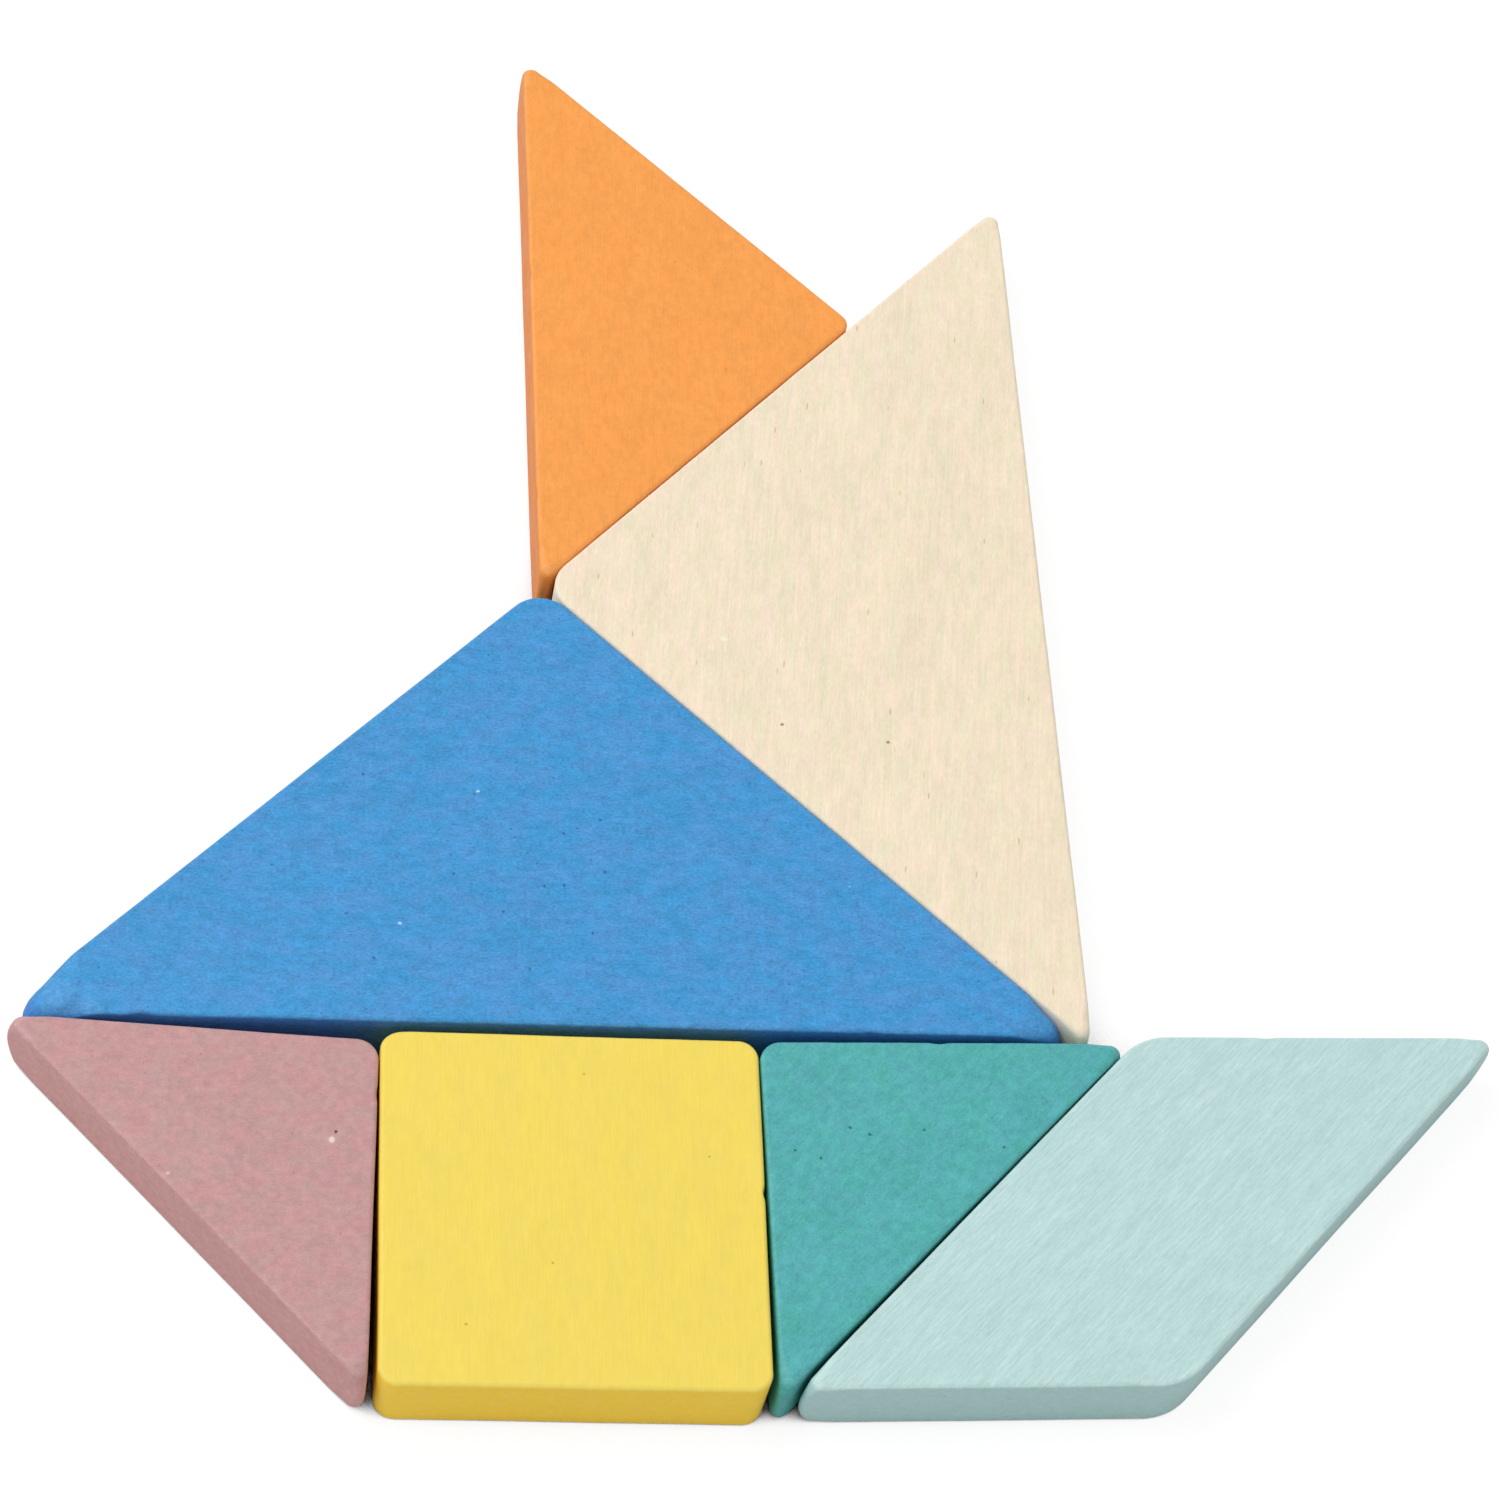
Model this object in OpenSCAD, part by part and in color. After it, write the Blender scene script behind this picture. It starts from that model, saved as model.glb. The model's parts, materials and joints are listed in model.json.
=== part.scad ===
// Tangram puzzle: seven flat wooden tiles, laid side by side as a sailing boat.
// The tiles are sawn from one square board, so every leg is worked out from that square's side.
// X runs along the deck of the boat, Y runs up the sails and Z is up. The origin is in the middle
// of the boat's bounding box, on the surface that the tiles lie on. All sizes are millimetres.

/* [Board] */
// Side of the square that the seven tiles pack into
set_side = 125; // [70:1:200]
// Thickness of the board
thickness = 10; // [5:0.5:15]

/* [Sawing by hand: how far the tiles came out from the drawing] */
// Length by which the natural tile's legs came out too long
natural_spare = 1.8; // [-2:0.1:2.5]
// The same for the orange tile, whose legs came out short
orange_spare = -2.2; // [-3:0.1:2]
// The same for the mauve tile
mauve_spare = -0.8; // [-2:0.1:2]
// The same for the green tile
green_spare = 0.8; // [-2:0.1:2]
// The same for the mint tile's sides along X
mint_spare = 0.5; // [-2:0.1:2]
// Degrees by which the blue tile's right angle came out too wide
blue_lean = 1.4; // [-2:0.1:2]
// The same for the orange tile
orange_lean = 0.6; // [-2:0.1:2]
// The same for the mauve tile
mauve_lean = 1.4; // [-2:0.1:2]
// The same for the green tile
green_lean = 0.7; // [-2:0.1:2]

/* [Rounding] */
// Radius of the sanded edges along the top and the bottom of every tile
edge_round = 0.5; // [0.3:0.05:1.4]
// Radius of a 45 degree tip halfway up, seen from above
tip_round = 0.6; // [0.4:0.1:1.5]
// Radius of the blue tile's right tip halfway up
blunt_tip_round = 1.1; // [0.4:0.1:2]
// Radius of the blue tile's left tip halfway up, which is worn most
worn_tip_round = 1.7; // [0.4:0.1:2]
// How many times that radius a tip has at its faces, where it is worn like the end of a pebble
tip_wear = 2.2; // [1.2:0.1:3]
// Share of the board's thickness that the nose of a tip is high
nose_share = 0.7; // [0.4:0.05:0.9]
// Share of a tip's radius at its faces that its top and bottom edges are worn to
tip_edge = 0.8; // [0.5:0.05:0.95]
// Length of straight side over which a tip's worn edge narrows to the sanded edge
tip_fade = 3; // [1:0.5:6]
// Radius of a triangle's right angle
heel_round = 2.6; // [1.5:0.1:5]
// Radius of the right angles that are worn most
worn_heel_round = 4.4; // [1.5:0.1:6]
// Radius of the orange tile's right angle
crisp_heel_round = 1.8; // [1.5:0.1:5]
// Radius of the square's corners
square_round = 2.4; // [1.5:0.1:5]
// Radius of the parallelogram's two blunt corners
blunt_round = 8; // [2:0.5:12]

/* [Lay of the boat] */
// Nearest gap between two tiles that lie against each other
lay_gap = 0.1; // [0.05:0.01:0.5]
// Height of the blue tile's left tip above the line of the square's top side
deck_gap = 0.93; // [0.3:0.01:2]
// Distance that the blue tile's left tip lies inside the left end of the row below it
blue_shift = 0.7; // [-1:0.1:2]
// Distance that the mint tile's blunt corner lies past the green tile's right tip
mint_slide = 1.4; // [0:0.1:5]

/* [Turn of each tile, in degrees] */
// Turn of the blue tile's long side down towards its right end
blue_skew = 0.35; // [0:0.05:1]
// Opening of the seam between the square and the mauve tile
mauve_skew = 1.35; // [0:0.05:2.5]
// Opening of the seam between the square and the green tile
green_skew = 0.9; // [0:0.05:1.2]
// Opening of the seam between the green and the mint tile
mint_skew = 0.45; // [0:0.05:2]

/* [Colours of the paint] */
// Paint of the large triangle in the hull's deck
blue_paint = "#4f9ad4";
// Bare wood of the large triangle in the sail
natural_wood = "#f1e2c5";
// Paint of the medium triangle at the masthead
orange_paint = "#faa557";
// Paint of the small triangle in the bow
mauve_paint = "#c79e9c";
// Paint of the small triangle in the hull
green_paint = "#5db1b4";
// Paint of the square
yellow_paint = "#f5dc68";
// Paint of the parallelogram
mint_paint = "#bedbd9";

/* [Hidden] */

// Legs of the tiles, as a tangram divides its square
large_leg = set_side / sqrt(2);
medium_leg = set_side / 2;
small_leg = large_leg / 2;
mint_leg = small_leg + mint_spare;

// A shoulder is just wider than its own sanded edge
shoulder_round = 1.2 * edge_round;

// Steps round a whole corner circle, a multiple of 8 so that a 45 degree side starts at a step
corner_steps = 48;
// Steps round the circle of a sanded edge
edge_steps = 16;
// Steps round the outline of a nose
nose_steps = 24;

// A tile is [its sharp corners, the radius at each], anticlockwise, with the first side along X
blue = [triangle(large_leg, blue_lean), [worn_heel_round, worn_tip_round, blunt_tip_round]];
natural = [triangle(large_leg + natural_spare, 0), [worn_heel_round, tip_round, tip_round]];
orange = [triangle(medium_leg + orange_spare, orange_lean), [crisp_heel_round, tip_round, tip_round]];
mauve = [triangle(small_leg + mauve_spare, mauve_lean), [heel_round, tip_round, tip_round]];
green = [triangle(small_leg + green_spare, green_lean), [heel_round, tip_round, tip_round]];
yellow = [[[0, 0], [small_leg, 0], [small_leg, small_leg], [0, small_leg]],
          [for (corner = [0:3]) square_round]];
mint = [[[0, 0], [mint_leg, 0], [2 * mint_leg, mint_leg], [mint_leg, mint_leg]],
        [tip_round, blunt_round, tip_round, blunt_round]];

// A pose is [x, y, turn]. The square's top side is the line y = 0, and the rest is laid round it
yellow_pose = [0, -small_leg, 0];
blue_pose = corner_at(blue, 1, [blue_shift - small_leg, deck_gap], 225 - blue_skew);
natural_pose = corner_at(natural, 0, beside(blue, blue_pose, 2, 0, lay_gap),
                         against(blue, blue_pose, 2, natural, 0));
orange_pose = corner_at(orange, 2, beside(natural, natural_pose, 2, 0, lay_gap),
                        against(natural, natural_pose, 2, orange, 2));
mauve_turn = against(yellow, yellow_pose, 3, mauve, 2) - mauve_skew;
mauve_pose = corner_at(mauve, 0, [-lay_gap, deck_gap - lay_gap - mauve[0][1].x * sin(mauve_turn)],
                       mauve_turn);
green_pose = corner_at(green, 0, [small_leg + lay_gap, 0],
                       against(yellow, yellow_pose, 1, green, 0) + green_skew);
mint_pose = corner_at(mint, 3, beside(green, green_pose, 1, mint_slide, lay_gap),
                      against(green, green_pose, 1, mint, 3) + mint_skew);

// Middle of the whole boat, from the round corners that reach furthest
corner_discs = concat(discs(blue, blue_pose), discs(natural, natural_pose), discs(orange, orange_pose),
                      discs(mauve, mauve_pose), discs(green, green_pose), discs(yellow, yellow_pose),
                      discs(mint, mint_pose));
boat_low = [for (axis = [0, 1]) min([for (disc = corner_discs) disc[0][axis] - disc[1]])];
boat_high = [for (axis = [0, 1]) max([for (disc = corner_discs) disc[0][axis] + disc[1]])];
boat_middle = (boat_low + boat_high) / 2;

// A triangle with two equal legs and an angle of 90 degrees between them, or a little more
function triangle(leg, lean) = [[0, 0], [leg, 0], leg * toward(90 + lean)];

// Number of the corner that a corner or side number stands for, counted round the tile
function wrap(tile, i) = (i + len(tile[0])) % len(tile[0]);

// Direction of side i, which runs from corner i to the next
function heading(tile, i) =
    let (run = tile[0][wrap(tile, i + 1)] - tile[0][wrap(tile, i)]) atan2(run.y, run.x);

// Unit vector at an angle
function toward(angle) = [cos(angle), sin(angle)];

// A point of a tile's own drawing, where the pose puts it
function placed(point, pose) =
    [pose.x, pose.y] + point.x * toward(pose.z) + point.y * toward(pose.z + 90);

// Pose with that turn that puts corner i of the tile on a spot
function corner_at(tile, i, spot, turn) =
    let (offset = placed(tile[0][i], [0, 0, turn])) [spot.x - offset.x, spot.y - offset.y, turn];

// Spot outside side i of a laid tile, at a gap from it and so far past the side's end
function beside(tile, pose, i, past, gap) =
    let (along = pose.z + heading(tile, i))
    placed(tile[0][wrap(tile, i + 1)], pose) + past * toward(along) + gap * toward(along - 90);

// Turn that lays side j of another tile along side i of a laid tile
function against(tile, pose, i, other, j) = pose.z + heading(tile, i) - 180 - heading(other, j);

// Centre of an arc that rounds corner i, which touches both sides that meet there
function arc_centre(tile, i, radius) =
    let (before = toward(heading(tile, wrap(tile, i - 1)) + 90), after = toward(heading(tile, i) + 90))
    tile[0][i] + radius * (before + after) / (1 + before * after);

// The round corners of a laid tile, each as [its centre, its radius]
function discs(tile, pose) =
    [for (i = [0:len(tile[0]) - 1]) [placed(arc_centre(tile, i, tile[1][i]), pose), tile[1][i]]];

// Whether corner i is a sharp tip, where the outline turns through more than a right angle
function is_tip(tile, i) = toward(heading(tile, wrap(tile, i - 1))) * toward(heading(tile, i)) < -0.5;

// Middles of the two shoulders of a tip, where the worn edge has narrowed to the sanded edge
function shoulders(tile, i, face_radius) =
    let (run = (1 + sqrt(2)) * face_radius + tip_fade,
         before = heading(tile, wrap(tile, i - 1)), after = heading(tile, i))
    [tile[0][i] - run * toward(before) + shoulder_round * toward(before + 90),
     tile[0][i] + run * toward(after) + shoulder_round * toward(after + 90)];

// A round corner as high as the board, with sanded edges
module corner_post(radius, edge) {
    rotate_extrude($fn = corner_steps) {
        square([radius - edge, thickness]);
        translate([0, edge]) square([radius, thickness - 2 * edge]);
        intersection() {
            for (z = [edge, thickness - edge])
                translate([radius - edge, z]) circle(r = edge, $fn = edge_steps);
            square([radius, thickness]);
        }
    }
}

// The part of a tip that wear leaves standing out most, an egg halfway up the board
module nose(radius) {
    height = nose_share * thickness;
    rotate_extrude($fn = corner_steps)
        translate([0, thickness / 2])
            intersection() {
                resize([2 * radius, height]) circle(r = radius, $fn = nose_steps);
                translate([0, -height / 2]) square([radius, height]);
            }
}

// A sharp tip of a tile: its nose, its worn faces and the shoulders behind them
module tip(tile, i) {
    face_radius = tip_wear * tile[1][i];
    translate(arc_centre(tile, i, tile[1][i])) nose(tile[1][i]);
    translate(arc_centre(tile, i, face_radius)) corner_post(face_radius, tip_edge * face_radius);
    for (middle = shoulders(tile, i, face_radius))
        translate(middle) corner_post(shoulder_round, edge_round);
}

// One tile lying on the surface, stretched over its corners
module tile_solid(tile, pose) {
    translate([pose.x, pose.y] - boat_middle)
        rotate(pose.z)
            hull()
                for (i = [0:len(tile[0]) - 1])
                    if (is_tip(tile, i))
                        tip(tile, i);
                    else
                        translate(arc_centre(tile, i, tile[1][i]))
                            corner_post(tile[1][i], min(edge_round, 0.9 * tile[1][i]));
}

module large_triangle_blue() color(blue_paint) tile_solid(blue, blue_pose);
module large_triangle_natural() color(natural_wood) tile_solid(natural, natural_pose);
module medium_triangle_orange() color(orange_paint) tile_solid(orange, orange_pose);
module small_triangle_mauve() color(mauve_paint) tile_solid(mauve, mauve_pose);
module small_triangle_green() color(green_paint) tile_solid(green, green_pose);
module square_yellow() color(yellow_paint) tile_solid(yellow, yellow_pose);
module parallelogram_mint() color(mint_paint) tile_solid(mint, mint_pose);

large_triangle_blue();
large_triangle_natural();
medium_triangle_orange();
small_triangle_mauve();
small_triangle_green();
square_yellow();
parallelogram_mint();
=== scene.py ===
# %% [markdown]
# A tangram is a square board sawn into seven tiles: five right triangles, a square and a
# parallelogram. Here the tiles are painted wood, one of them bare, and they lie side by side on a
# pale table as a sailing boat. This lesson builds the boat tile by tile. The fixed frame comes
# first, because it says where each tile lies, and everything after it is fitted to the frame.

# %% Load the fixed frame
import json
import math

import bmesh
import bpy
from mathutils import Matrix, Quaternion, Vector, geometry, noise

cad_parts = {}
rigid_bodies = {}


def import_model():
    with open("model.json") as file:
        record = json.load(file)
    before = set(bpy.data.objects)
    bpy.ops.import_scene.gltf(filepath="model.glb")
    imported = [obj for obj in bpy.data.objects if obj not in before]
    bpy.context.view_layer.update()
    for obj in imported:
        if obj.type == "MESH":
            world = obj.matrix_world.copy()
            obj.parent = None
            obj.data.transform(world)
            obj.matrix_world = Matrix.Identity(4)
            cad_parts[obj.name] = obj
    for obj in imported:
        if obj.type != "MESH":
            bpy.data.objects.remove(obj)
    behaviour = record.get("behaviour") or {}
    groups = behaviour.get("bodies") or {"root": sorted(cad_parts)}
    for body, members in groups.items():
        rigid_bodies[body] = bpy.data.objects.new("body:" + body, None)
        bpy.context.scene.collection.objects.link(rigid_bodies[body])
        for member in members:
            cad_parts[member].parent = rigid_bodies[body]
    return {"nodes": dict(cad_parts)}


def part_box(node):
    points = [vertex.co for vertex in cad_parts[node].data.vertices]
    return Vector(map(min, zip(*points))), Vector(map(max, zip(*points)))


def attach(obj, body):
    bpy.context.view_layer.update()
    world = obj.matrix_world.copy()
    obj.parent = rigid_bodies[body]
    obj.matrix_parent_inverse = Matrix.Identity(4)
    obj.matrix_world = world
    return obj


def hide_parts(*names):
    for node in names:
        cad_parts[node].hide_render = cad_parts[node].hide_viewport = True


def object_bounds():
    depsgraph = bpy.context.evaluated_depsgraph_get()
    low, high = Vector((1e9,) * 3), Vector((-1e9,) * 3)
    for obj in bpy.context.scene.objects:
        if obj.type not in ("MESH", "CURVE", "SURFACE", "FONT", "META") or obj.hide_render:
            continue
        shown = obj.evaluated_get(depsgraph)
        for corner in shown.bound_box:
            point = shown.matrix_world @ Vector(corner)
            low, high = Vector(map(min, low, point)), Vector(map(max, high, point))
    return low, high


for leftover in list(bpy.data.objects):
    bpy.data.objects.remove(leftover)
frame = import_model()
CAD_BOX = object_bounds()
MM = 0.001
THICKNESS = CAD_BOX[1].z - CAD_BOX[0].z
print("tiles:", sorted(frame["nodes"]), "thickness in mm:", round(THICKNESS / MM, 2))

# %% [markdown]
# The camera looks down on the boat from in front and a little to the left, and it is rolled, so
# that the boat leans in the picture. Its place is told from the square tile, whose top left corner
# is the one point that everything else is laid round. A long lens keeps the lines nearly parallel.

# %% Set the camera
AZIMUTH, ELEVATION, ROLL = math.radians(-14.94), math.radians(57.16), math.radians(14.92)
CAMERA_DISTANCE = 518.58 * MM
LENS = 99.51
AIM_FROM_SQUARE = Vector((46.42, 46.24)) * MM

square_low, square_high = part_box("square_yellow")
aim = Vector((square_low.x + AIM_FROM_SQUARE.x, square_high.y + AIM_FROM_SQUARE.y, 0))
back = Vector((math.sin(AZIMUTH) * math.cos(ELEVATION),
               -math.cos(AZIMUTH) * math.cos(ELEVATION),
               math.sin(ELEVATION)))

camera = bpy.data.objects.new("camera", bpy.data.cameras.new("camera"))
bpy.context.scene.collection.objects.link(camera)
camera.data.lens = LENS
camera.data.clip_start, camera.data.clip_end = 0.01, 20
camera.location = aim + back * CAMERA_DISTANCE
camera.rotation_mode = "QUATERNION"
camera.rotation_quaternion = (-back).to_track_quat("-Z", "Y") @ Quaternion((0, 0, 1), ROLL)
bpy.context.scene.camera = camera
print("camera at, in mm:", [round(v / MM, 1) for v in camera.location])

# %% [markdown]
# Shader nodes are added with a few small helpers, so that the lines below read as what they make.
# Paint colours are written as hex codes, the way a paint card gives them, and are turned into the
# linear values that Blender calculates with.

# %% Helpers for shader nodes
def add(tree, kind, inputs=None, **settings):
    """Adds a shader node. Inputs are values or other nodes' outputs, by socket name or number."""
    made = tree.nodes.new("ShaderNode" + kind)
    for name, value in settings.items():
        setattr(made, name, value)
    for key, value in (inputs or {}).items():
        if isinstance(value, bpy.types.NodeSocket):
            tree.links.new(value, made.inputs[key])
        else:
            made.inputs[key].default_value = value
    return made


def calc(tree, operation, *values):
    """The result of a Math node."""
    return add(tree, "Math", dict(enumerate(values)), operation=operation).outputs[0]


def calc_vector(tree, operation, *values):
    """The result of a Vector Math node."""
    return add(tree, "VectorMath", dict(enumerate(values)), operation=operation).outputs[0]


def mixed(tree, share, under, over, blend="MIX"):
    """Two colours mixed by a share, or blended in another way."""
    return add(tree, "Mix", {"Factor": share, 6: under, 7: over}, data_type="RGBA",
               blend_type=blend).outputs[2]


def paint(code):
    """Linear colour of a hex code such as #4f9ad4."""
    levels = [int(code[i:i + 2], 16) / 255 for i in (1, 3, 5)]
    return [v / 12.92 if v <= 0.04045 else ((v + 0.055) / 1.055) ** 2.4 for v in levels] + [1]


def new_material(name):
    """A material with an empty node tree and its output node."""
    material = bpy.data.materials.new(name)
    material.use_nodes = True
    material.node_tree.nodes.clear()
    return material, add(material.node_tree, "OutputMaterial")


print("blue paint in linear light:", [round(v, 3) for v in paint("#4f9ad4")])

# %% [markdown]
# The table is plain and pale. To the camera it is lifted to white by Light Path's Is Camera Ray,
# which adds nothing to the light on the tiles, and it keeps the soft shadow round the boat. Ambient
# occlusion tells where the tiles shut it in. There its colour is painted dark as shadow and it
# isn't lifted, so that the gaps between the tiles stay dark lines.

# %% Lay the table
TABLE_SIZE = 6.0
TABLE_LIFT, GLOW = 0.82, 1.08
TABLE_WHITE, GAP_PAINTED_SHADOW = (0.8, 0.8, 0.8, 1), (0.06, 0.03, 0.025, 1)
GAP_REACH = 20 * MM
SHUT_IN, OPEN = 0.25, 0.5
table_mesh = bpy.data.meshes.new("table")
bm = bmesh.new()
bmesh.ops.create_grid(bm, x_segments=1, y_segments=1, size=TABLE_SIZE / 2)
bm.to_mesh(table_mesh)
bm.free()
table = bpy.data.objects.new("table", table_mesh)
bpy.context.scene.collection.objects.link(table)

table_white, output = new_material("table_white")
tree = table_white.node_tree
seen = add(tree, "LightPath").outputs["Is Camera Ray"]
sky = add(tree, "AmbientOcclusion", {"Distance": GAP_REACH}, samples=8).outputs["AO"]
unshut = add(tree, "MapRange", {"Value": sky, "From Min": SHUT_IN, "From Max": OPEN})
unshut = unshut.outputs["Result"]
# Where the tiles shut the table in, its colour is a painted dark shadow.
matt = add(tree, "BsdfDiffuse", {"Color": mixed(tree, unshut, GAP_PAINTED_SHADOW, TABLE_WHITE)})
glow = add(tree, "Emission", {"Color": (1, 1, 1, 1), "Strength": GLOW})
lift = calc(tree, "MULTIPLY", calc(tree, "MULTIPLY", seen, TABLE_LIFT), unshut)
both = add(tree, "MixShader", {0: lift, 1: matt.outputs[0], 2: glow.outputs[0]})
tree.links.new(both.outputs[0], output.inputs["Surface"])
table_mesh.materials.append(table_white)
print("table laid at z = 0")

# %% [markdown]
# Plain studio light: one wide soft lamp high up on the left, and an even world for the rest. The
# tops of the tiles then render at about the colour that their paint is written in, and the sides
# that face the camera are a step darker.

# %% Hang the lamp
LAMP_PLACE, LAMP_SIZE, LAMP_WATTS = Vector((-0.76, 0.25, 1.39)), 0.8, 13
WORLD_STRENGTH = 0.62

lamp = bpy.data.objects.new("lamp_left", bpy.data.lights.new("lamp_left", "AREA"))
bpy.context.scene.collection.objects.link(lamp)
lamp.data.size = LAMP_SIZE
lamp.data.energy = LAMP_WATTS
lamp.location = LAMP_PLACE
lamp.rotation_mode = "QUATERNION"
lamp.rotation_quaternion = (-LAMP_PLACE).to_track_quat("-Z", "Y")

world = bpy.data.worlds.new("studio")
bpy.context.scene.world = world
world.use_nodes = True
world.node_tree.nodes["Background"].inputs["Color"].default_value = (1, 1, 1, 1)
world.node_tree.nodes["Background"].inputs["Strength"].default_value = WORLD_STRENGTH
bpy.context.scene.view_settings.view_transform = "Standard"

# %% [markdown]
# A tile's outline is a few straight saw cuts with a round at each corner. The frame already holds
# it: seen from above, the long gaps between neighbouring points of a CAD tile are the saw cuts,
# and the arc between two of them gives the corner's centre and radius.

# %% Read the corners of a tile from the frame
LEAST_TURN = math.radians(1)
SHORTEST_CUT = 5 * MM


def in_pairs(ring):
    """Each item of a closed list with the one after it."""
    return zip(ring, ring[1:] + ring[:1])


def turned(points):
    """The points where a closed line turns, without those that lie on a straight part."""
    return [p for before, (p, after) in zip(points[-1:] + points[:-1], in_pairs(points))
            if abs((p - before).angle_signed(after - p)) > LEAST_TURN]


def corner_arcs(node):
    """Each round corner of a tile, anticlockwise: where its arc starts, its centre and its turn."""
    places = {(round(v.co.x, 6), round(v.co.y, 6)) for v in frame["nodes"][node].data.vertices}
    from_above = [Vector(place) for place in sorted(places)]
    ring = turned([from_above[i] for i in geometry.convex_hull_2d(from_above)])
    cuts = [(a, b) for a, b in in_pairs(ring) if (b - a).length > SHORTEST_CUT]
    arcs = []
    for (a, b), (c, d) in in_pairs(cuts):
        turn = -(b - a).angle_signed(d - c)
        radius = (c - b).length / (2 * math.sin(turn / 2))
        inward = Vector((-(b - a).y, (b - a).x)).normalized()
        arcs.append((b, b + inward * radius, turn))
    return arcs


for node in sorted(frame["nodes"]):
    print(node, [(round((start - centre).length / MM, 2), round(math.degrees(turn), 1))
                 for start, centre, turn in corner_arcs(node)])

# %% [markdown]
# The outline is walked round once, with close points in the arcs and along the cuts. Loose tiles
# rub their sharp tips round like the end of a pebble, so a tip has two outlines: a small nose
# halfway up, and a wider round at the two faces. The sanded edge above and below is small along a
# saw cut and grows towards such a tip.

# %% Walk round the outline
EDGE = 0.5 * MM
TIP_TURN = math.radians(100)
TIP_WEAR = 2.2
TIP_EDGE = 0.8
TIP_FADE = 3 * MM
ARC_STEP = 0.25 * MM
CUT_STEP = 0.5 * MM
FEWEST_STEPS = 8


def at_the_faces(corner):
    """A corner as it is at the two faces: its arc, and the radius of its sanded edge."""
    start, centre, turn = corner
    spoke = start - centre
    if turn < TIP_TURN:
        return start, centre, turn, EDGE
    to_corner = Matrix.Rotation(turn / 2, 2) @ spoke / math.cos(turn / 2)
    centre = centre - to_corner * (TIP_WEAR - 1)
    return centre + spoke * TIP_WEAR, centre, turn, spoke.length * TIP_WEAR * TIP_EDGE


def eased(share):
    """A share from 0 to 1, made to start and end gently."""
    return share * share * (3 - 2 * share)


def faded(distance):
    """Share of a tip's wear that is left at a distance along the saw cut."""
    return eased(max(0, 1 - distance / TIP_FADE))


def outline(node):
    """Points round a tile, anticlockwise: the place at the faces, the place halfway up, the
    outward direction and the radius of the sanded edge."""
    noses = corner_arcs(node)
    faces = [at_the_faces(nose) for nose in noses]
    points = []
    for (nose, next_nose), (face, next_face) in zip(in_pairs(noses), in_pairs(faces)):
        start, centre, turn, edge = face
        nose_start, nose_centre, _ = nose
        steps = max(FEWEST_STEPS, round((start - centre).length * turn / ARC_STEP))
        for i in range(steps + 1):
            swing = Matrix.Rotation(turn * i / steps, 2)
            spoke = swing @ (start - centre)
            points.append((centre + spoke, nose_centre + swing @ (nose_start - nose_centre),
                           spoke.normalized(), edge))
        face_end, nose_end, outward, _ = points[-1]
        face_cut, nose_cut = next_face[0] - face_end, next_nose[0] - nose_end
        steps = math.ceil(face_cut.length / CUT_STEP)
        for i in range(1, steps):
            done = face_cut.length * i / steps
            worn = max((edge - EDGE) * faded(done),
                       (next_face[3] - EDGE) * faded(face_cut.length - done))
            points.append((face_end + face_cut * i / steps, nose_end + nose_cut * i / steps,
                           outward, EDGE + worn))
    return points


print("points round the square:", len(outline("square_yellow")))

# %% [markdown]
# A tile is now lofted: one sanded profile is swept round the outline, from the underside up over
# the side to the top, and its two ends are closed with flat faces. Hand work shows in the sweep.
# Slow noise makes the saw cuts waver by a few hundredths of a millimetre, and quicker noise wears
# the rounded edges a little unevenly. The noise has a fixed seed, so that every run gives the same
# tiles. Each point stores how far it is on a rim and on a sawn side.

# %% Loft a tile
EDGE_STEPS = 6
SIDE_BANDS = 6
WAVER, WAVER_LENGTH = 0.05 * MM, 14 * MM
UNEVEN, UNEVEN_LENGTH = 0.05 * MM, 3 * MM
SIDE_FADE = 1.6
NOISE_SEED = 4
NOISE_SHIFT = Vector((17.3, 5.1, 2.7))
QUARTER = [math.radians(90) * i / EDGE_STEPS for i in range(EDGE_STEPS + 1)]
PROFILE = ([(-angle, 0) for angle in reversed(QUARTER)]
           + [(0, band / SIDE_BANDS) for band in range(1, SIDE_BANDS)]
           + [(angle, 1) for angle in QUARTER])
noise.seed_set(NOISE_SEED)


def loft_tile(node, seed):
    """A bmesh of the tile, standing on the table."""
    bm = bmesh.new()
    rim_layer = bm.verts.layers.float.new("rim")
    side_layer = bm.verts.layers.float.new("side")
    shift = NOISE_SHIFT * seed
    points = outline(node)
    rings = []
    for angle, share in PROFILE:
        ring = []
        for at_face, halfway, outward, edge in points:
            height = edge * (1 + math.sin(angle)) + (THICKNESS - 2 * edge) * share
            from_middle = 2 * height / THICKNESS - 1
            flat = (at_face.lerp(halfway, 1 - from_middle ** 2)
                    - outward * edge * (1 - math.cos(angle)))
            place = Vector((flat.x, flat.y, height))
            facing = Vector((outward.x * math.cos(angle), outward.y * math.cos(angle),
                             math.sin(angle)))
            rim = abs(math.sin(2 * angle))
            slow = noise.noise_vector(at_face.to_3d() / WAVER_LENGTH + shift) * WAVER
            quick = (noise.noise(place / UNEVEN_LENGTH + shift) - 1) / 2 * UNEVEN * rim
            v = bm.verts.new(place + Vector((slow.x, slow.y, 0)) + facing * quick)
            v[rim_layer] = rim
            v[side_layer] = max(0, 1 - SIDE_FADE * abs(math.sin(angle)))
            ring.append(v)
        rings.append(ring)
    for low, high in zip(rings, rings[1:]):
        for (a, b), (d, c) in zip(in_pairs(low), in_pairs(high)):
            bm.faces.new((a, b, c, d)).smooth = True
    bm.faces.new(reversed(rings[0]))
    bm.faces.new(rings[-1])
    return bm


trial = loft_tile("square_yellow", 1)
print("square:", len(trial.verts), "vertices, volume in cm3:", round(trial.calc_volume() * 1e6, 2))
trial.free()

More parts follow.
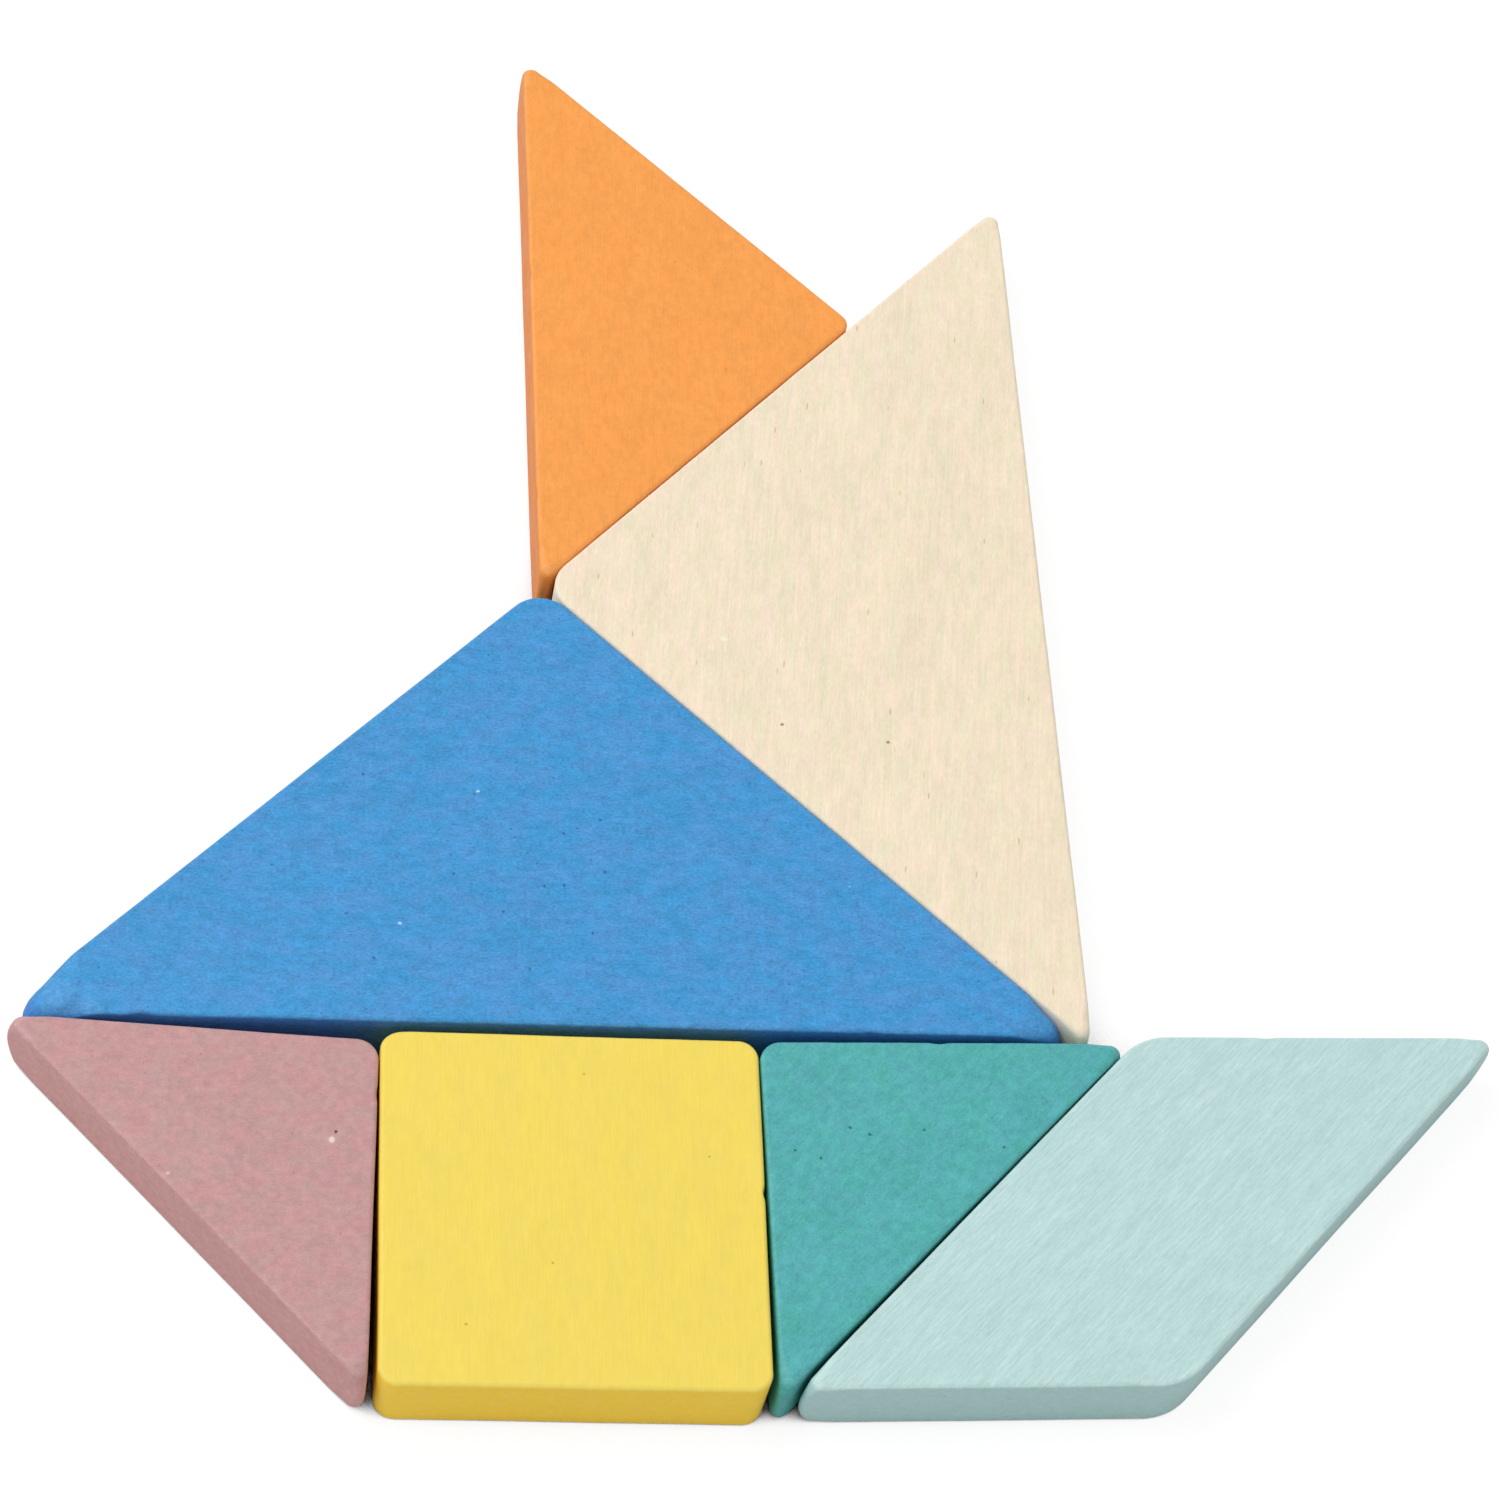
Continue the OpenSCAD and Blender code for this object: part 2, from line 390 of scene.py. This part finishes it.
# %% [markdown]
# Years of play leave a few small dents along the edges. A dent pushes the points near one spot
# inwards, and the push fades out from the middle of the dent to its border. It is a level push, so
# that the top stays flat. Each dent has its place, its size and its depth in millimetres.

# %% Press small dents
def dent(bm, place, size, depth):
    """Pushes in the points within size of a place in the frame, given in mm."""
    middle = Vector(place) * MM
    for v in bm.verts:
        share = 1 - (v.co - middle).length / (size * MM)
        if share > 0:
            v.co -= Vector((v.normal.x, v.normal.y, 0)) * depth * MM * eased(share)


DENTS = {
    "square_yellow": [((-1.7, -71.5, 9.8), 1.1, 0.25), ((-15.5, -96.2, 5.0), 0.9, 0.2),
                      ((-44.0, -52.8, 9.9), 2.0, 0.15)],
    "large_triangle_blue": [((-73.0, -50.3, 9.6), 2.2, 0.25), ((12.0, -50.9, 9.7), 1.6, 0.2)],
    "large_triangle_natural": [((31.0, -20.0, 9.8), 1.8, 0.2), ((-2.0, -22.0, 9.8), 1.5, 0.2)],
    "medium_triangle_orange": [((-26.9, 60.0, 9.8), 1.6, 0.2), ((-27.0, 25.0, 9.8), 1.4, 0.15)],
    "small_triangle_mauve": [((-66.0, -74.0, 9.8), 2.0, 0.25), ((-46.4, -60.0, 9.8), 1.5, 0.2)],
    "small_triangle_green": [((20.0, -51.5, 9.8), 1.5, 0.2)],
    "parallelogram_mint": [((40.0, -95.4, 9.8), 1.8, 0.2), ((60.0, -48.9, 9.8), 1.6, 0.2)],
}
print("dents:", sum(len(dents) for dents in DENTS.values()))

# %% [markdown]
# Now the finishes. Paint on a hand-made tile isn't one flat colour: the brush leaves it thicker
# and thinner in soft clouds, the grain of the board telegraphs through as fine streaks, and
# specks and pores are left in it. Each of these effects is a node group, made once and used by
# several tiles with other values. All of them measure in millimetres along the board's grain.

# %% A group for clouds in the paint
CLOUD_THIN, CLOUD_THICK = 0.34, 0.66


def new_group(name, inputs, outputs):
    """An empty node group, with the sockets inside it that give and take its values."""
    group = bpy.data.node_groups.new(name, "ShaderNodeTree")
    for title, kind, value in inputs:
        socket = group.interface.new_socket(title, in_out="INPUT", socket_type="NodeSocket" + kind)
        if value is not None:
            socket.default_value = value
    for title, kind in outputs:
        group.interface.new_socket(title, in_out="OUTPUT", socket_type="NodeSocket" + kind)
    given = group.nodes.new("NodeGroupInput").outputs
    return group, given, group.nodes.new("NodeGroupOutput").inputs


def steepened(group, value, low, high):
    """A mask from 0 to 1 as the value goes from low to high."""
    return add(group, "MapRange", {"Value": value, "From Min": low, "From Max": high},
               interpolation_type="SMOOTHSTEP").outputs["Result"]


paint_clouds, given, out = new_group(
    "paint_clouds", [("Vector", "Vector", None), ("Size", "Float", 2.0)], [("Mask", "Float")])
cloud = add(paint_clouds, "TexNoise", {"Vector": given["Vector"], "Detail": 2.0, "Roughness": 0.55,
                                       "Scale": calc(paint_clouds, "DIVIDE", 1.0, given["Size"])})
mask = steepened(paint_clouds, cloud.outputs["Fac"], CLOUD_THIN, CLOUD_THICK)
paint_clouds.links.new(mask, out["Mask"])
print("group:", paint_clouds.name)

# %% [markdown]
# Seen close, a coat is never even. Noise of three sizes makes it a little lighter and darker:
# flecks of a quarter of a millimetre, spots of nearly one and patches of four. Part of it also
# tints the paint. The colour that comes out hovers round white, and the finish multiplies its
# paint by it.

# %% A group for uneven shade
SHADE_SIZES = {"Flecks": 0.25, "Spots": 0.8, "Patches": 4.0}
uneven_shade, given, out = new_group(
    "uneven_shade",
    [("Vector", "Vector", None), ("Flecks", "Float", 0.2), ("Spots", "Float", 0.2),
     ("Patches", "Float", 0.1), ("Tint", "Float", 0.4)],
    [("Color", "Color")])
shade = (1, 1, 1)
for title, size in SHADE_SIZES.items():
    patch = add(uneven_shade, "TexNoise",
                {"Vector": given["Vector"], "Scale": 1 / size, "Detail": 1.0}).outputs
    tinted = mixed(uneven_shade, given["Tint"], patch["Fac"], patch["Color"])
    away = calc_vector(uneven_shade, "SUBTRACT", tinted, (0.5, 0.5, 0.5))
    part = add(uneven_shade, "VectorMath", {0: away, "Scale": given[title]}, operation="SCALE")
    shade = calc_vector(uneven_shade, "ADD", part.outputs[0], shade)
uneven_shade.links.new(shade, out["Color"])
print("group:", uneven_shade.name)

# %% [markdown]
# Grain is noise that is drawn out along the board. Dividing the coordinate by a long length on
# one axis and by a short width on the other two makes the streaks.

# %% A group for long grain
STREAK_THIN, STREAK_THICK = 0.32, 0.68
long_grain, given, out = new_group(
    "long_grain",
    [("Vector", "Vector", None), ("Length", "Float", 8.0), ("Width", "Float", 0.4)],
    [("Mask", "Float")])
stretch = add(long_grain, "CombineXYZ",
              {"X": given["Length"], "Y": given["Width"], "Z": given["Width"]}).outputs[0]
squeezed = calc_vector(long_grain, "DIVIDE", given["Vector"], stretch)
streaks = add(long_grain, "TexNoise", {"Vector": squeezed, "Scale": 1.0,
                                       "Detail": 3.0, "Roughness": 0.6})
mask = steepened(long_grain, streaks.outputs["Fac"], STREAK_THIN, STREAK_THICK)
long_grain.links.new(mask, out["Mask"])
print("group:", long_grain.name)

# %% [markdown]
# Pores, rays and specks are small marks with a place of their own. A Voronoi texture scatters
# points evenly, and only the nearest part round a point becomes a mark. Where a point lies just
# below the surface its mark is smaller, which gives the marks different sizes.

# %% A group for small marks
MARK_TEAR = 0.12
MARK_BORDER, MARK_CORE = 0.5, 0.2
CROWD_SCALE, CROWD_FADE = 0.06, 0.12
small_marks, given, out = new_group(
    "small_marks",
    [("Vector", "Vector", None), ("Spacing", "Float", 2.0), ("Length", "Float", 0.5),
     ("Width", "Float", 0.2), ("Patches", "Float", 0.5)],
    [("Mask", "Float")])
ratio = calc(small_marks, "DIVIDE", given["Length"], given["Width"])
stretch = add(small_marks, "CombineXYZ", {"X": ratio, "Y": 1.0, "Z": 1.0}).outputs[0]
squeezed = calc_vector(small_marks, "DIVIDE", given["Vector"], stretch)
ragged = add(small_marks, "TexNoise", {"Vector": given["Vector"], "Scale": 5.0, "Detail": 1.0})
jolt = calc_vector(small_marks, "MULTIPLY", ragged.outputs["Color"], [MARK_TEAR] * 3)
torn = calc_vector(small_marks, "ADD", squeezed, jolt)
scale = calc(small_marks, "DIVIDE", 1.0, given["Spacing"])
points = add(small_marks, "TexVoronoi", {"Vector": torn, "Scale": scale})
away = calc(small_marks, "MULTIPLY", points.outputs["Distance"], given["Spacing"])
near = steepened(small_marks, away, calc(small_marks, "MULTIPLY", given["Width"], MARK_BORDER),
                 calc(small_marks, "MULTIPLY", given["Width"], MARK_CORE))
crowd = add(small_marks, "TexNoise",
            {"Vector": given["Vector"], "Scale": CROWD_SCALE, "Detail": 2.0})
here = steepened(small_marks, crowd.outputs["Fac"], given["Patches"],
                 calc(small_marks, "ADD", given["Patches"], CROWD_FADE))
small_marks.links.new(calc(small_marks, "MULTIPLY", near, here), out["Mask"])
print("group:", small_marks.name)

# %% [markdown]
# The rounded rims are paler: partly paint that wears first there, and partly a painted highlight
# where a rounded edge catches the light. The mesh stores how far each point is on a rim, and noise
# breaks the pale line up.

# %% A group for worn rims with a painted highlight
RIM_FADE = 0.35
worn_and_highlit_rims, given, out = new_group(
    "worn_and_highlit_rims", [("Rim", "Float", 0.0), ("Vector", "Vector", None), ("Start", "Float", 0.5)],
    [("Mask", "Float")])
patchy = add(worn_and_highlit_rims, "TexNoise", {"Vector": given["Vector"], "Scale": 0.8, "Detail": 3.0})
offset = calc(worn_and_highlit_rims, "SUBTRACT", patchy.outputs["Fac"], 0.5)
broken_up = calc(worn_and_highlit_rims, "ADD", given["Rim"], offset)
end = calc(worn_and_highlit_rims, "ADD", given["Start"], RIM_FADE)
worn_and_highlit_rims.links.new(steepened(worn_and_highlit_rims, broken_up, given["Start"], end), out["Mask"])
print("group:", worn_and_highlit_rims.name)

# %% [markdown]
# A few marks are where they are on the real boat, such as a chip in the paint. A spot is the
# distance to one place on the tile.

# %% A group for a single spot
SPOT_BORDER, SPOT_CORE = 0.6, 0.25
spot, given, out = new_group(
    "spot", [("Vector", "Vector", None), ("Place", "Vector", None), ("Size", "Float", 0.5)],
    [("Mask", "Float")])
away = add(spot, "VectorMath", {0: given["Vector"], 1: given["Place"]}, operation="DISTANCE")
border = calc(spot, "MULTIPLY", given["Size"], SPOT_BORDER)
core = calc(spot, "MULTIPLY", given["Size"], SPOT_CORE)
spot.links.new(steepened(spot, away.outputs["Value"], border, core), out["Mask"])
print("group:", spot.name)

# %% [markdown]
# One recipe mixes a tile's finish: the paint, its clouds, the grain, dark pores, pale specks, the
# sawn sides, the rims and the uneven shade. The colour of the sides is partly paint that they drink
# and partly painted light and shade on the walls. The rims are paler, partly worn paint and partly
# a painted highlight. The same masks steer roughness and bump, so that what looks like a pore is
# also a small hollow.

# %% Mix a tile's finish
START_STEP = 31.7
SPECK_SIZE, SPECK_PATCHES = 0.25, 0.3
GRAIN_HEIGHT, FINE_HEIGHT = 0.6, 0.5
SPOT_TEAR = 0.4
RAGGED_SCALE, FINE_SCALE = 3.0, 3.0
SMOOTHER, ROUGHER = 0.05, 0.07


def use(tree, group, **inputs):
    """Places a node group with its values and gives what it puts out."""
    made = tree.nodes.new("ShaderNodeGroup")
    made.node_tree = group
    for name, value in inputs.items():
        if isinstance(value, bpy.types.NodeSocket):
            tree.links.new(value, made.inputs[name])
        else:
            made.inputs[name].default_value = value
    return made.outputs[0]


def laid_over(tree, under, over, mask, share=1.0):
    """The colour under, with the paint over laid on it where the mask is."""
    return mixed(tree, calc(tree, "MULTIPLY", mask, share), under, paint(over))


def tile_finish(name, colour, cloud, cloud_size, cloud_share, turn, grain, grain_length,
                grain_width, grain_share, pores, pore_spacing, pore_length, pore_width, pore_share,
                pore_patches, speck, speck_spacing, side, rim, rim_start, rim_share,
                uneven, drawn_out, rough, relief, spots=()):
    """A material for one tile. Sizes are in mm and turn is the grain's direction in degrees.
    Clouds and flecks are drawn out along the grain. Spots on the top are given as size, colour,
    depth and a list of places."""
    material, output = new_material(name)
    tree = material.node_tree
    object_place = add(tree, "TexCoord").outputs["Object"]
    in_mm = add(tree, "Mapping", {"Vector": object_place, "Scale": [1 / MM] * 3}).outputs[0]
    own_start = (len(name) * START_STEP, turn, 0)
    along = add(tree, "Mapping", {"Vector": in_mm, "Rotation": (0, 0, -math.radians(turn)),
                                  "Location": own_start}).outputs[0]
    drawn = add(tree, "Mapping", {"Vector": along, "Scale": (1 / drawn_out, 1, 1)}).outputs[0]
    on_rim = add(tree, "Attribute", attribute_name="rim").outputs["Fac"]
    on_side = add(tree, "Attribute", attribute_name="side").outputs["Fac"]

    clouds = use(tree, paint_clouds, Vector=drawn, Size=cloud_size)
    streaks = use(tree, long_grain, Vector=along, Length=grain_length, Width=grain_width)
    hollows = use(tree, small_marks, Vector=along, Spacing=pore_spacing, Length=pore_length,
                  Width=pore_width, Patches=pore_patches)
    specks = use(tree, small_marks, Vector=in_mm, Spacing=speck_spacing, Length=SPECK_SIZE,
                 Width=SPECK_SIZE, Patches=SPECK_PATCHES)
    worn = use(tree, worn_and_highlit_rims, Rim=on_rim, Vector=in_mm, Start=rim_start)

    coat = laid_over(tree, paint(colour), cloud, clouds, cloud_share)
    coat = laid_over(tree, coat, grain, streaks, grain_share)
    # The sides' colour is partly paint that the sawn wood drinks and partly painted light and shade
    # on the walls.
    coat = laid_over(tree, coat, side, on_side)
    coat = laid_over(tree, coat, pores, hollows, pore_share)
    coat = laid_over(tree, coat, speck, specks)
    # The paler rims are partly worn paint and partly a painted highlight.
    coat = laid_over(tree, coat, rim, worn, rim_share)
    coat = mixed(tree, 1.0, coat, use(tree, uneven_shade, Vector=drawn, **uneven), "MULTIPLY")

    height = calc(tree, "MULTIPLY", streaks, GRAIN_HEIGHT)
    height = calc(tree, "SUBTRACT", height, hollows)
    ragged = add(tree, "TexNoise", {"Vector": in_mm, "Scale": RAGGED_SCALE, "Detail": 2.0})
    jolt = calc_vector(tree, "MULTIPLY_ADD", ragged.outputs["Color"], [SPOT_TEAR] * 3,
                       [-SPOT_TEAR / 2] * 3)
    torn = calc_vector(tree, "ADD", jolt, in_mm)
    for size, tone, depth, places in spots:
        for x, y in places:
            mask = use(tree, spot, Vector=torn, Place=(x, y, THICKNESS / MM), Size=size)
            coat = laid_over(tree, coat, tone, mask)
            height = calc(tree, "MULTIPLY_ADD", mask, -depth, height)
    fine = add(tree, "TexNoise", {"Vector": in_mm, "Scale": FINE_SCALE, "Detail": 3.0})
    height = calc(tree, "MULTIPLY_ADD", fine.outputs["Fac"], FINE_HEIGHT, height)
    bump = add(tree, "Bump", {"Height": height, "Distance": relief * MM, "Strength": 1.0})
    roughness = add(tree, "MapRange", {"Value": clouds, "To Min": rough - SMOOTHER,
                                       "To Max": rough + ROUGHER}).outputs["Result"]
    surface = add(tree, "BsdfPrincipled", {"Base Color": coat, "Roughness": roughness,
                                           "Normal": bump.outputs[0], "IOR": 1.45,
                                           "Specular IOR Level": 0.3})
    tree.links.new(surface.outputs[0], output.inputs["Surface"])
    return material


print("recipe ready")

# %% [markdown]
# Each tile has its own paint, matched to the photograph: the blue is full of tiny dark pores along
# the deck, the bare tile shows short upright rays, the yellow has hardly any mark, and the mint
# tile was brushed along its slanting sides. Lengths are in millimetres. A share says how strongly
# a layer covers what is under it.

# %% The seven finishes
# In each finish the side colour is partly painted light and shade on the walls, and the rim colour
# is partly a painted highlight.
FINISHES = {
    "large_triangle_blue": dict(
        name="blue_paint", colour="#3d96d1", cloud="#5b93d2", cloud_size=2.6, cloud_share=0.5,
        turn=0, grain="#3d8dcb", grain_length=3, grain_width=0.35, grain_share=0.25,
        pores="#256baa", pore_spacing=1.0, pore_length=0.45, pore_width=0.22, pore_share=0.8,
        pore_patches=0.4, speck="#8ccaec", speck_spacing=9, side="#4482cd", rim="#65a7db",
        rim_start=0.7, rim_share=0.25,
        uneven=dict(Flecks=0.8, Spots=0.5, Patches=0.1, Tint=0.1), drawn_out=1.6,
        rough=0.5, relief=0.03,
        spots=[(0.5, "#b4d8f0", 0, [(-34.3, -19.3), (-43.6, -37.8)]),
               (0.42, "#2a66a4", 1, [
                   (-31.4, -35.8), (-48.1, -17.5), (-19.6, -22.7), (-24.0, -24.7),
                   (-19.2, -29.9), (-37.2, -30.8), (-49.9, -36.7), (-28.3, -43.4),
                   (-46.6, -42.6), (-20.8, -38.3), (-26.4, -32.1), (-24.1, -31.9)])]),
    "large_triangle_natural": dict(
        name="bare_wood", colour="#efe4c7", cloud="#f7decc", cloud_size=2.0, cloud_share=0.6,
        turn=84, grain="#e8d4b2", grain_length=9, grain_width=0.4, grain_share=0.3,
        pores="#d2b482", pore_spacing=1.5, pore_length=1.4, pore_width=0.28, pore_share=0.8,
        pore_patches=0.35, speck="#9f896c", speck_spacing=14, side="#fbefd9", rim="#f8eedc",
        rim_start=0.5, rim_share=0.3,
        uneven=dict(Flecks=0.2, Spots=0.2, Patches=0.12, Tint=0.12), drawn_out=3,
        rough=0.6, relief=0.03,
        spots=[(0.5, "#a08a62", 1, [(3.2, -8.0), (16.3, -10.0)]),
               (0.9, "#f7edd9", 0, [(-3.6, 4.2)])]),
    "medium_triangle_orange": dict(
        name="orange_paint", colour="#f6a251", cloud="#f89e4c", cloud_size=3.0, cloud_share=0.6,
        turn=90, grain="#ef9948", grain_length=4, grain_width=0.4, grain_share=0.25,
        pores="#da7f34", pore_spacing=1.8, pore_length=0.6, pore_width=0.22, pore_share=0.6,
        pore_patches=0.4, speck="#fbcf9a", speck_spacing=14, side="#e68a3c", rim="#f9c091",
        rim_start=0.6, rim_share=0.15,
        uneven=dict(Flecks=0.2, Spots=0.24, Patches=0.08, Tint=0.12), drawn_out=1.6,
        rough=0.5, relief=0.03),
    "small_triangle_mauve": dict(
        name="mauve_paint", colour="#c09a97", cloud="#cd9397", cloud_size=2.4, cloud_share=0.6,
        turn=0, grain="#bd9191", grain_length=2, grain_width=0.5, grain_share=0.3,
        pores="#a17b7a", pore_spacing=1.6, pore_length=0.3, pore_width=0.22, pore_share=0.6,
        pore_patches=0.4, speck="#e3c8c6", speck_spacing=12, side="#c89593", rim="#d3afaf",
        rim_start=0.6, rim_share=0.3,
        uneven=dict(Flecks=0.3, Spots=0.36, Patches=0.08, Tint=0.12), drawn_out=1.2,
        rough=0.55, relief=0.05,
        spots=[(0.8, "#e6d6d0", 0, [(-51.2, -66.3)]),
               (0.4, "#6e4a48", 1, [(-50.7, -65.3)]),
               (0.45, "#dcc0be", 0, [(-69.5, -71.0)])]),
    "small_triangle_green": dict(
        name="green_paint", colour="#52afab", cloud="#5bacb8", cloud_size=3.0, cloud_share=0.55,
        turn=45, grain="#4fa4a6", grain_length=2, grain_width=0.4, grain_share=0.3,
        pores="#368b8c", pore_spacing=1.3, pore_length=0.3, pore_width=0.2, pore_share=0.7,
        pore_patches=0.4, speck="#99d2ce", speck_spacing=14, side="#4aa29f", rim="#73c1bc",
        rim_start=0.6, rim_share=0.3,
        uneven=dict(Flecks=0.5, Spots=0.5, Patches=0.16, Tint=0.15), drawn_out=1.3,
        rough=0.5, relief=0.03,
        spots=[(0.42, "#24706f", 1, [
                   (2.1, -66.1), (17.5, -63.0), (26.8, -65.0), (5.1, -67.0),
                   (8.7, -63.0), (11.0, -63.8)])]),
    "square_yellow": dict(
        name="yellow_paint", colour="#f4da5e", cloud="#f1d865", cloud_size=3.0, cloud_share=0.8,
        turn=90, grain="#edd255", grain_length=5, grain_width=0.25, grain_share=0.25,
        pores="#ccaf43", pore_spacing=2.2, pore_length=1.2, pore_width=0.16, pore_share=0.4,
        pore_patches=0.5, speck="#f9eca8", speck_spacing=18, side="#fcd43f", rim="#f7e381",
        rim_start=0.6, rim_share=0.25,
        uneven=dict(Flecks=0.06, Spots=0.1, Patches=0.04, Tint=0.15), drawn_out=2.5,
        rough=0.5, relief=0.02,
        spots=[(0.36, "#cfae42", 1, [
                   (-36.0, -88.7), (-26.2, -81.0), (-22.2, -57.0), (-7.9, -67.2)])]),
    "parallelogram_mint": dict(
        name="mint_paint", colour="#bfdddc", cloud="#c6e3e1", cloud_size=5.0, cloud_share=0.7,
        turn=45.8, grain="#b2d3d1", grain_length=4, grain_width=0.28, grain_share=0.7,
        pores="#9dc2bf", pore_spacing=2.4, pore_length=2.5, pore_width=0.2, pore_share=0.6,
        pore_patches=0.45, speck="#ebf7f6", speck_spacing=16, side="#afd2d1", rim="#d4ecea",
        rim_start=0.6, rim_share=0.4,
        uneven=dict(Flecks=0.2, Spots=0.15, Patches=0.02, Tint=0.06), drawn_out=3,
        rough=0.5, relief=0.05),
}
print("finishes:", [finish["name"] for finish in FINISHES.values()])

# %% [markdown]
# Every tile is now sawn, sanded, dented and painted, and it takes the place of its plain solid in
# the frame. The solid stays in the scene, hidden. Each tile rides on the one body that the boat
# has, because nothing in it is joined.

# %% Make the seven tiles
def lay_tile(node, seed):
    """Makes one tile in the place of its CAD node."""
    bm = loft_tile(node, seed)
    bm.normal_update()
    for place, size, depth in DENTS[node]:
        dent(bm, place, size, depth)
    mesh = bpy.data.meshes.new("tile_" + node)
    bm.to_mesh(mesh)
    bm.free()
    tile = bpy.data.objects.new("tile_" + node, mesh)
    bpy.context.scene.collection.objects.link(tile)
    mesh.materials.append(tile_finish(**FINISHES[node]))
    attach(tile, "root")
    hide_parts(node)
    return tile


for seed, node in enumerate(FINISHES):
    tile = lay_tile(node, seed + 1)
    print(tile.name, len(tile.data.polygons), "faces, box in mm:",
          [round(v / MM, 2) for v in tile.dimensions])
